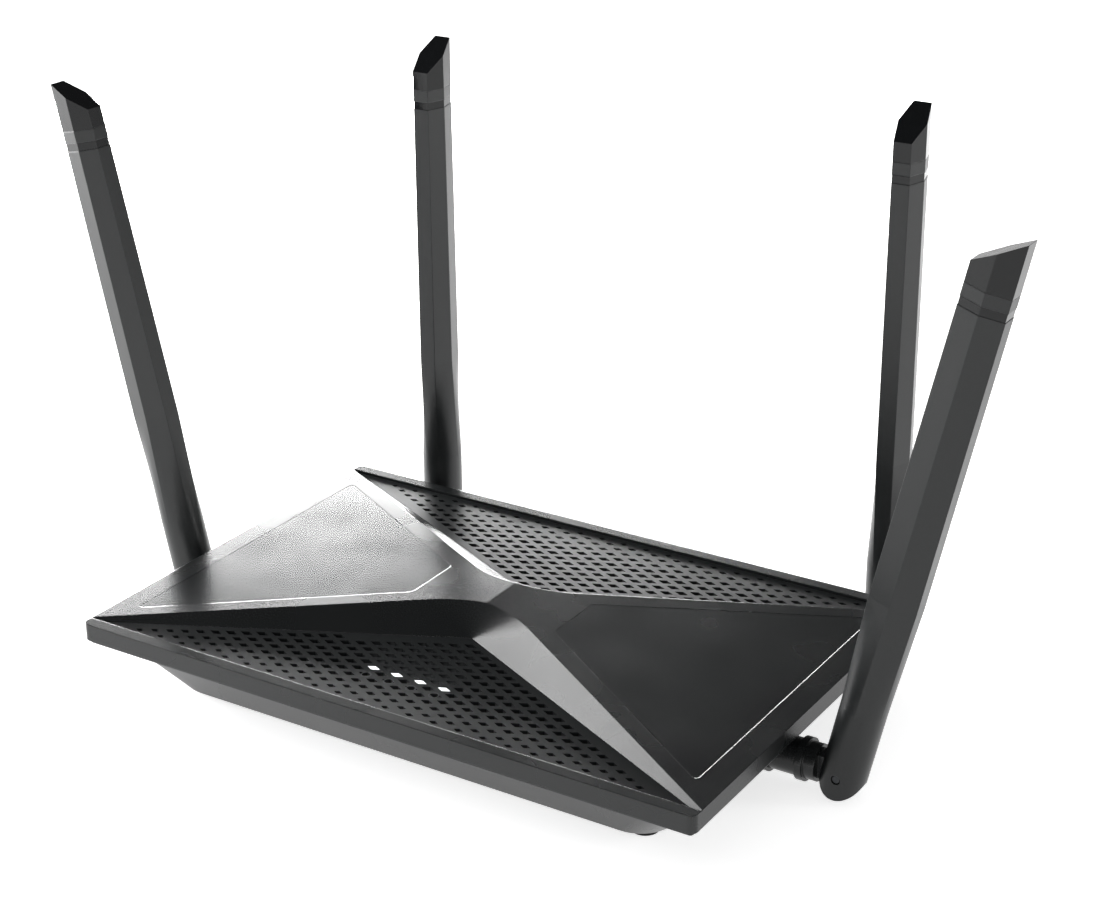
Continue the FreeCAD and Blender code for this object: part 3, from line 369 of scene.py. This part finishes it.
class ROUTER_OT_case(bpy.types.Operator):
    """Finish the case halves, the inlay panels, the grilles and the feet"""

    bl_idname = "router.case"
    bl_label = "Case"

    def execute(self, context):
        plastics = context.scene.router_plastics
        grain = plastics.grain_size
        rough = plastics.satin_roughness
        edge = plastics.edge_radius
        case = moulded_plastic("case_satin_black", plastics.case_colour, rough, grain, 0.25, edge)
        panel = moulded_plastic("panel_fine_satin", plastics.panel_colour, rough - 0.02,
                                grain * 0.8, 0.08, 0)
        grille = moulded_plastic("grille_satin", plastics.grille_colour, rough + 0.06, grain, 0.25, 0)
        rubber = moulded_plastic("foot_rubber_black", (0.012, 0.012, 0.012), 0.7, grain * 2, 0.6,
                                 edge, 0.2)
        finish_nodes(case, CASE_PARTS)
        finish_nodes(panel, ("left_panel", "right_panel"))
        finish_nodes(grille, ("front_grille", "back_grille"))
        finish_nodes(rubber, ("rubber_feet", "thermal_pad"))
        return {"FINISHED"}


class ROUTER_OT_antennas(bpy.types.Operator):
    """Finish the antennas: satin blades, polished tips and rings, metal pins"""

    bl_idname = "router.antennas"
    bl_label = "Antennas"

    def execute(self, context):
        plastics = context.scene.router_plastics
        edge = plastics.edge_radius
        rough = plastics.satin_roughness
        blade = moulded_plastic("antenna_satin", plastics.blade_colour, rough + 0.05,
                                plastics.grain_size, 0.2, edge)
        gloss = gloss_plastic("antenna_polished_black", (0.004, 0.0045, 0.005), edge * 0.5)
        joint = moulded_plastic("knuckle_satin", plastics.case_colour, rough,
                                plastics.grain_size, 0.3, edge)
        pin = plated_metal("pin_dark_steel", (0.05, 0.052, 0.055), 0.35, 0.0002)
        for name in ANTENNAS:
            finish_nodes(blade, (f"{name}_sleeve", f"{name}_band"))
            finish_nodes(gloss, (f"{name}_ring", f"{name}_cap"))
            finish_nodes(joint, (f"{name}_hub", f"{name}_knuckle"))
            finish_nodes(pin, (f"{name}_pin",))
        return {"FINISHED"}


class ROUTER_OT_ports(bpy.types.Operator):
    """Finish the ports and buttons and fit the spring contacts in the network sockets"""

    bl_idname = "router.ports"
    bl_label = "Ports and buttons"

    def execute(self, context):
        plastics = context.scene.router_plastics
        marks = context.scene.router_marks
        edge = plastics.edge_radius
        housing = moulded_plastic("socket_black", (0.012, 0.012, 0.013), 0.3, 0.0006, 0.2,
                                  edge * 0.4, 0.5)
        wan = moulded_plastic("socket_blue_grey", (0.03, 0.10, 0.22), 0.32, 0.0006, 0.2,
                              edge * 0.4, 0.5)
        button = moulded_plastic("button_grey", (0.045, 0.047, 0.05), 0.42, 0.0005, 0.3, edge)
        shell = plated_metal("port_tinned", (0.6, 0.61, 0.62), 0.3, 0.0003)
        gold = plated_metal("contact_gold", (0.85, 0.6, 0.22), 0.22, 0.0001)
        finish_nodes(housing, ("lan_ports", "power_inlet"))
        finish_nodes(wan, ("wan_port",))
        finish_nodes(button, ("power_button", "wps_button", "reset_button"))
        finish_nodes(shell, ("usb_port",))
        mesh = bpy.data.meshes.new("socket_contacts")
        shape = bmesh.new()
        for node, count in (("lan_ports", 4), ("wan_port", 1)):
            low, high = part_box(node)
            pitch = (high.x - low.x) / count
            for socket in range(count):
                middle = low.x + pitch * (socket + 0.5)
                for contact in range(CONTACT_COUNT):
                    x = middle + (contact - (CONTACT_COUNT - 1) / 2) * marks.contact_pitch
                    add_contact(shape, x, high, marks.contact_wide)
        shape.to_mesh(mesh)
        shape.free()
        new_piece("socket_contacts", mesh, "case", gold)
        return {"FINISHED"}


def add_contact(shape, x, high, wide):
    """One spring contact: a strip that slants down from the socket's roof towards its back."""
    roof = high.z - CONTACT_FROM_ROOF
    back = high.y - CONTACT_FROM_BACK
    path = []
    for step in range(CONTACT_STEPS + 1):
        share = step / CONTACT_STEPS
        drop = CONTACT_DROP * math.sin(share * math.pi / 2)
        path.append((back - CONTACT_LONG * share, roof - drop))
    rows = []
    for y, z in path:
        row = []
        for side, lift in ((-1, 0), (1, 0), (1, -CONTACT_THICK), (-1, -CONTACT_THICK)):
            row.append(shape.verts.new((x + side * wide / 2, y, z + lift)))
        rows.append(row)
    for first, second in zip(rows[:-1], rows[1:]):
        for index in range(4):
            after = (index + 1) % 4
            shape.faces.new((first[index], first[after], second[after], second[index]))
    shape.faces.new(tuple(reversed(rows[0])))
    shape.faces.new(tuple(rows[-1]))


class ROUTER_OT_marks(bpy.types.Operator):
    """Light the status windows and print a plain ring in front of each one"""

    bl_idname = "router.marks"
    bl_label = "Status windows and rings"

    def execute(self, context):
        marks = context.scene.router_marks
        windows = status_window("status_window_white", marks.window_glow)
        finish_nodes(windows, ("light_pipes", "status_lamps"))
        ink = moulded_plastic("ring_ink_grey", (0.055, 0.058, 0.06), 0.5, 0.0004, 0.1, 0.00005, 0.3)
        low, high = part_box("status_lamps")
        pipes_low, pipes_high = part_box("light_pipes")
        lamp = high.y - low.y
        first = low.x + lamp
        last = high.x - lamp
        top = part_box("front_grille")[1].z
        mesh = bpy.data.meshes.new("status_rings")
        shape = bmesh.new()
        middle_y = (pipes_low.y + pipes_high.y) / 2 - marks.ring_gap
        for index in range(WINDOW_COUNT):
            share = index / (WINDOW_COUNT - 1)
            x = first + (last - first) * share
            add_ring(shape, x, middle_y, top, marks.ring_radius, marks.ring_line)
        shape.to_mesh(mesh)
        shape.free()
        new_piece("status_rings", mesh, "case", ink)
        return {"FINISHED"}


def add_ring(shape, x, y, top, radius, line):
    """A thin printed ring that stands a hair above the plate."""
    inside = radius - line
    rings = []
    for reach, lift in ((inside, 0), (inside, RING_HEIGHT), (radius, RING_HEIGHT), (radius, 0)):
        ring = []
        for step in range(RING_STEPS):
            turn = 2 * math.pi * step / RING_STEPS
            place = (x + reach * math.cos(turn), y + reach * math.sin(turn), top + lift)
            ring.append(shape.verts.new(place))
        rings.append(ring)
    for row in range(4):
        inner = rings[row]
        outer = rings[(row + 1) % 4]
        for step in range(RING_STEPS):
            after = (step + 1) % RING_STEPS
            shape.faces.new((inner[step], inner[after], outer[after], outer[step]))


class ROUTER_OT_inside(bpy.types.Operator):
    """Finish the board, its parts and the screws"""

    bl_idname = "router.inside"
    bl_label = "Inside"

    def execute(self, context):
        board = circuit_board("board_solder_mask")
        black = moulded_plastic("part_black", (0.008, 0.008, 0.009), 0.45, 0.0004, 0.3, 0.0001, 0.3)
        tin = plated_metal("shield_tinned", (0.12, 0.12, 0.125), 0.45, 0.0004)
        sink = plated_metal("sink_black_anodised", (0.02, 0.02, 0.021), 0.5, 0.0004)
        steel = plated_metal("screw_zinc", (0.35, 0.35, 0.36), 0.3, 0.0002)
        finish_nodes(board, ["main_board"] + [f"{name}_radiator" for name in ANTENNAS])
        finish_nodes(black, INNER_PARTS)
        finish_nodes(tin, ("shield_cans", "capacitors"))
        finish_nodes(sink, ("heat_sink",))
        finish_nodes(steel, ("board_screws", "case_screws"))
        return {"FINISHED"}


# ---------------------------------------------------------------- stage

def rim_middle():
    """The middle of the case's rim plane."""
    low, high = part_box("top_cover")
    grille_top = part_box("front_grille")[1].z
    return Vector(((low.x + high.x) / 2, (low.y + high.y) / 2, grille_top + RIM_ABOVE_GRILLE))


def add_camera(studio):
    """A camera from its yaw, pitch, roll and place."""
    data = bpy.data.cameras.new("studio_camera")
    data.lens = studio.lens
    data.sensor_width = SENSOR_WIDE
    data.sensor_fit = "HORIZONTAL"
    data.clip_start = 0.01
    camera = bpy.data.objects.new("studio_camera", data)
    bpy.context.scene.collection.objects.link(camera)
    yaw, pitch, roll = studio.camera_yaw, studio.camera_pitch, studio.camera_roll
    right = Vector((math.cos(yaw), math.sin(yaw), 0))
    level = math.cos(pitch)
    ahead = Vector((-math.sin(yaw) * level, math.cos(yaw) * level, -math.sin(pitch)))
    up = right.cross(ahead)
    turned_right = right * math.cos(roll) + up * math.sin(roll)
    turned_up = up * math.cos(roll) - right * math.sin(roll)
    turn = Matrix((turned_right, turned_up, -ahead)).transposed()
    place = rim_middle() + Vector(studio.camera_place)
    camera.matrix_world = Matrix.Translation(place) @ turn.to_4x4()
    bpy.context.scene.camera = camera


def add_softbox(name, direction, distance, wide, tall, power, target):
    """A rectangular soft light that faces the router."""
    data = bpy.data.lights.new(name, "AREA")
    data.shape = "RECTANGLE"
    data.size = wide
    data.size_y = tall
    data.energy = power
    light = bpy.data.objects.new(name, data)
    bpy.context.scene.collection.objects.link(light)
    away = Vector(direction).normalized()
    light.location = target + away * distance
    light.rotation_euler = away.to_track_quat("Z", "Y").to_euler()


def seen_mask(tree):
    """1 for rays of the view, of gloss and of glass, 0 for all others."""
    path = tree.nodes.new("ShaderNodeLightPath")
    mask = math_node(tree, "MAXIMUM", path.outputs["Is Camera Ray"], path.outputs["Is Glossy Ray"])
    return math_node(tree, "MAXIMUM", mask, path.outputs["Is Transmission Ray"])


def add_backdrop():
    """A pale horizon under a dim ceiling, the same for the view, for gloss and for glass."""
    world = bpy.data.worlds.new("pale_studio")
    world.use_nodes = True
    bpy.context.scene.world = world
    tree = world.node_tree
    place = tree.nodes.new("ShaderNodeTexCoord")
    split = tree.nodes.new("ShaderNodeSeparateXYZ")
    tree.links.new(place.outputs["Generated"], split.inputs["Vector"])
    height = spread(tree, split.outputs["Z"], 1.0, HORIZON_DIM, *HORIZON_FADE)
    view = tree.nodes.new("ShaderNodeBackground")
    tree.links.new(height, view.inputs["Strength"])
    light = tree.nodes["Background"]
    light.inputs["Color"].default_value = (1, 1, 1, 1)
    light.inputs["Strength"].default_value = 0.35
    mix = tree.nodes.new("ShaderNodeMixShader")
    tree.links.new(seen_mask(tree), mix.inputs["Fac"])
    tree.links.new(light.outputs[0], mix.inputs[1])
    tree.links.new(view.outputs[0], mix.inputs[2])
    tree.links.new(mix.outputs[0], tree.nodes["World Output"].inputs["Surface"])


def add_floor():
    """A wide pale floor that keeps the router's shadow."""
    mesh = bpy.data.meshes.new("studio_floor")
    shape = bmesh.new()
    bmesh.ops.create_grid(shape, x_segments=4, y_segments=4, size=6)
    shape.to_mesh(mesh)
    shape.free()
    floor = bpy.data.objects.new("studio_floor", mesh)
    floor.location.z = -FLOOR_BELOW
    bpy.context.scene.collection.objects.link(floor)
    material, tree, shader = new_material("floor_pale")
    grain = tree.nodes.new("ShaderNodeTexNoise")
    grain.inputs["Scale"].default_value = 3
    colour = blend_colour(tree, grain.outputs["Fac"], (0.9, 0.9, 0.9), (0.94, 0.94, 0.94))
    tree.links.new(colour, shader.inputs["Base Color"])
    shader.inputs["Roughness"].default_value = 0.9
    shader.inputs["Specular IOR Level"].default_value = 0.0
    glow = tree.nodes.new("ShaderNodeEmission")
    glow.inputs["Strength"].default_value = 0.7
    add = tree.nodes.new("ShaderNodeAddShader")
    tree.links.new(shader.outputs[0], add.inputs[0])
    tree.links.new(glow.outputs[0], add.inputs[1])
    mix = tree.nodes.new("ShaderNodeMixShader")
    tree.links.new(seen_mask(tree), mix.inputs["Fac"])
    tree.links.new(shader.outputs[0], mix.inputs[1])
    tree.links.new(add.outputs[0], mix.inputs[2])
    tree.links.new(mix.outputs[0], tree.nodes["Material Output"].inputs["Surface"])
    mesh.materials.append(material)


class ROUTER_OT_stage(bpy.types.Operator):
    """Set the pale floor, the soft lights and the camera"""

    bl_idname = "router.stage"
    bl_label = "Stage"

    def execute(self, context):
        studio = context.scene.router_studio
        context.scene.view_settings.view_transform = "Standard"
        add_camera(studio)
        add_backdrop()
        add_floor()
        target = rim_middle()
        for softbox in SOFTBOXES:
            add_softbox(*softbox, target)
        return {"FINISHED"}


# ---------------------------------------------------------------- sidebar and running

PIECE_OPERATORS = (ROUTER_OT_case, ROUTER_OT_antennas, ROUTER_OT_ports, ROUTER_OT_marks,
                   ROUTER_OT_inside, ROUTER_OT_stage)


class ROUTER_PT_panel(bpy.types.Panel):
    """The router's steps and sizes"""

    bl_idname = "ROUTER_PT_panel"
    bl_label = "Router"
    bl_space_type = "VIEW_3D"
    bl_region_type = "UI"
    bl_category = "Router"

    def draw(self, context):
        scene = context.scene
        for group in (scene.router_plastics, scene.router_marks, scene.router_studio):
            column = self.layout.column(align=True)
            for key in group.bl_rna.properties.keys():
                if key not in ("rna_type", "name"):
                    column.prop(group, key)
        for operator in PIECE_OPERATORS:
            self.layout.operator(operator.bl_idname)


CLASSES = (RouterPlastics, RouterMarks, RouterStudio) + PIECE_OPERATORS + (ROUTER_PT_panel,)


def register():
    """Register the classes and hang the settings on the scene."""
    for item in CLASSES:
        bpy.utils.register_class(item)
    bpy.types.Scene.router_plastics = bpy.props.PointerProperty(type=RouterPlastics)
    bpy.types.Scene.router_marks = bpy.props.PointerProperty(type=RouterMarks)
    bpy.types.Scene.router_studio = bpy.props.PointerProperty(type=RouterStudio)


def unregister():
    """Take the settings and the classes away again."""
    del bpy.types.Scene.router_studio
    del bpy.types.Scene.router_marks
    del bpy.types.Scene.router_plastics
    for item in reversed(CLASSES):
        bpy.utils.unregister_class(item)


def main():
    """Build every piece in order."""
    register()
    bpy.ops.router.stage()
    bpy.ops.router.case()
    bpy.ops.router.antennas()
    bpy.ops.router.ports()
    bpy.ops.router.marks()
    bpy.ops.router.inside()


if __name__ == "__main__":
    main()
